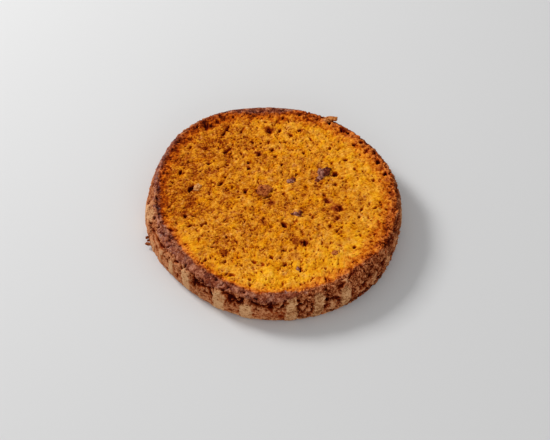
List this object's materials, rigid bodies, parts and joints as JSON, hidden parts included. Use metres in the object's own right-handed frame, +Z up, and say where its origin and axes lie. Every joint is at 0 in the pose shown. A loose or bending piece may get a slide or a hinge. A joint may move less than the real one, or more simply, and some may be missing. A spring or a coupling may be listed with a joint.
{
  "type": "pumpkin bread slice",
  "caption": "Round slice of pumpkin bread: toasted porous cut face with bits of fruit and nut, rounded crust shoulder and a torn, upright-streaked crust wall.",
  "frame": {"origin": "middle of the slice's box at the height of its flat underside", "axes": "+Z up through the slice's thickness, out of the upper cut face; +Y toward the side that lay away from the camera, +X to the camera's right"},
  "size_m": [0.1141, 0.1146, 0.0176],
  "materials": {
    "bread": "matte toasted crumb, browned crust at the rim and wall"
  },
  "bodies": {
    "root": {"bread_slice": "bread"}
  },
  "joints": []
}
